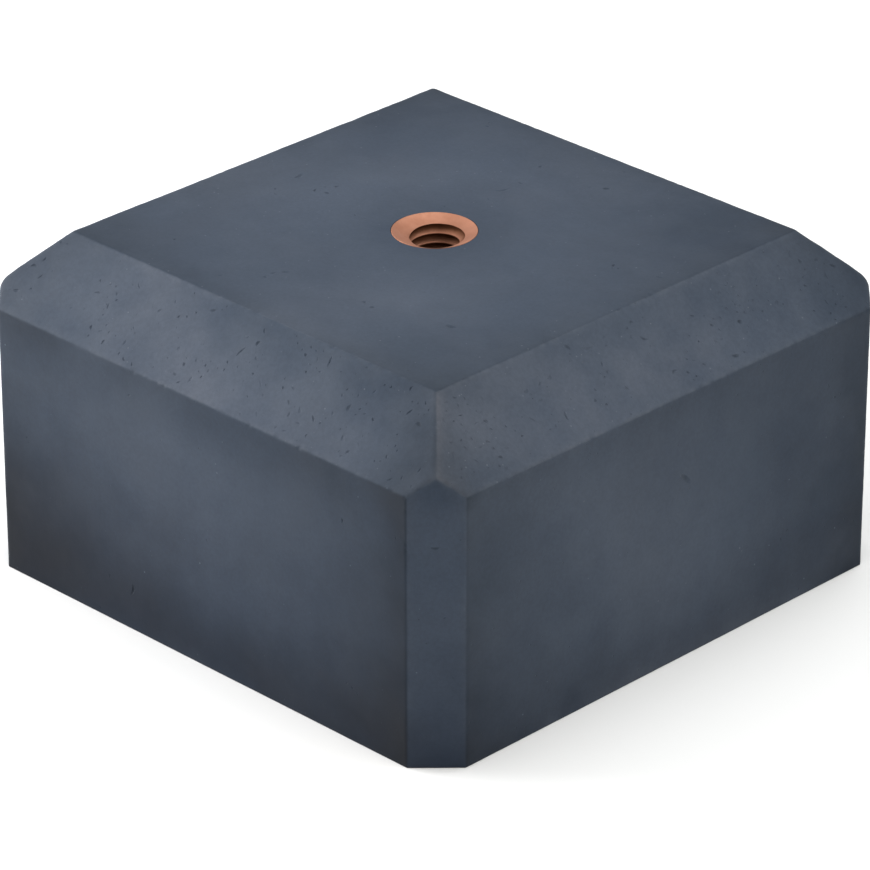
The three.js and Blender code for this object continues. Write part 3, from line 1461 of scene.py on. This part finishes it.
@dataclass(frozen=True)
class SoftBox:
    """One soft lamp: a glowing panel that points at the block."""

    name: str
    azimuth: float  # degrees round the block, as the camera's
    elevation: float
    distance: float
    width: float
    height: float
    power: float
    colour: Colour = (1.0, 1.0, 1.0)
    aim: tuple[float, float, float] = (0.0, 0.0, 0.05)

    def hang(self) -> bpy.types.Object:
        """Hangs the lamp in its place.

        Returns:
            The lamp.
        """
        lamp = bpy.data.lights.new(self.name, "AREA")
        lamp.shape = "RECTANGLE"
        lamp.size, lamp.size_y = self.width, self.height
        lamp.energy = self.power
        lamp.color = self.colour
        made = bpy.data.objects.new(self.name, lamp)
        back = outward(self.azimuth, self.elevation)
        made.location = Vector(self.aim) + self.distance * back
        made.rotation_euler = back.to_track_quat("Z", "Y").to_euler()
        made.visible_camera = False
        bpy.context.scene.collection.objects.link(made)
        return made


def outward(azimuth: float, elevation: float) -> Vector:
    """The direction from the block to a viewer.

    Args:
        azimuth: degrees round the block; 0 looks along +Y and 90 along -X.
        elevation: degrees above the horizon.

    Returns:
        The direction, at length one.
    """
    a, e = math.radians(azimuth), math.radians(elevation)
    return Vector((math.sin(a) * math.cos(e), -math.cos(a) * math.cos(e), math.sin(e)))


@dataclass(frozen=True)
class PhotoCamera:
    """The camera at the photograph's angle and distance."""

    azimuth: float = 44.759
    elevation: float = 26.931
    distance: float = 1.4812
    lens: float = 220.04
    sensor: float = 36.0
    aim_height: float = 0.03720
    aim_right: float = 0.00013

    def place(self) -> bpy.types.Object:
        """Sets the camera up and makes it the scene's own.

        Returns:
            The camera.
        """
        view = bpy.data.cameras.new("photo_camera")
        view.lens, view.sensor_width, view.sensor_fit = self.lens, self.sensor, "HORIZONTAL"
        view.clip_start, view.clip_end = 0.05, 40.0
        camera = bpy.data.objects.new("photo_camera", view)
        back = outward(self.azimuth, self.elevation)
        right = Vector((math.cos(math.radians(self.azimuth)), math.sin(math.radians(self.azimuth)), 0))
        camera.location = Vector((0, 0, self.aim_height)) + self.aim_right * right + self.distance * back
        camera.rotation_euler = back.to_track_quat("Z", "Y").to_euler()
        bpy.context.scene.collection.objects.link(camera)
        bpy.context.scene.camera = camera
        return camera


@dataclass
class Studio:
    """Plain pale floor, soft pale surroundings and soft lamps."""

    floor_radius: float = 9.0
    floor_finish: FloorFinish = FloorFinish()
    surroundings: Colour = (1.0, 1.0, 1.0)
    surroundings_strength: float = 0.80
    lamps: tuple[SoftBox, ...] = (
        SoftBox("left_lamp", -56.0, 21.0, 0.75, 0.45, 0.45, 6.8),
        SoftBox("right_lamp", 84.0, 21.0, 0.75, 0.45, 0.45, 1.55, (1.0, 0.91, 0.76)),
        SoftBox("high_lamp", 150.0, 70.0, 0.75, 0.80, 0.80, 3.2, (0.93, 0.98, 1.0)),
        SoftBox("front_lamp", 30.0, 70.0, 0.75, 0.45, 0.45, 0.8),
    )

    def lay_floor(self) -> bpy.types.Object:
        """Lays the floor under the block.

        Returns:
            The floor.
        """
        shape = bmesh.new()
        bmesh.ops.create_circle(shape, cap_ends=True, segments=96, radius=self.floor_radius)
        mesh = bpy.data.meshes.new("studio_floor")
        shape.to_mesh(mesh)
        shape.free()
        mesh.materials.append(self.floor_finish.material("pale_floor"))
        floor = bpy.data.objects.new("studio_floor", mesh)
        bpy.context.scene.collection.objects.link(floor)
        return floor

    def light(self) -> None:
        """Lights the surroundings, hangs the lamps and keeps the picture's colours plain."""
        world = bpy.data.worlds.new("pale_surroundings")
        world.use_nodes = True
        glow = world.node_tree.nodes["Background"]
        glow.inputs["Color"].default_value = (*self.surroundings, 1.0)
        glow.inputs["Strength"].default_value = self.surroundings_strength
        bpy.context.scene.world = world
        for lamp in self.lamps:
            lamp.hang()
        bpy.context.scene.view_settings.view_transform = "Standard"
        bpy.context.scene.view_settings.look = "None"


def report(piece: bpy.types.Object) -> None:
    """Logs a piece's name and its number of faces."""
    log.info("%s: %d faces", piece.name, len(piece.data.polygons))


def main() -> None:
    """Builds the block, its socket and the studio."""
    logging.basicConfig(level=logging.INFO, format="%(name)s: %(message)s")
    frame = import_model()
    block = CastBlock(BlockShape.from_solid(frame["nodes"]["concrete_block"]))
    report(block.build())
    socket = ThreadedSocket(*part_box("threaded_socket"))
    report(socket.build())
    studio = Studio()
    report(studio.lay_floor())
    studio.light()
    PhotoCamera().place()


if __name__ == "__main__":
    main()
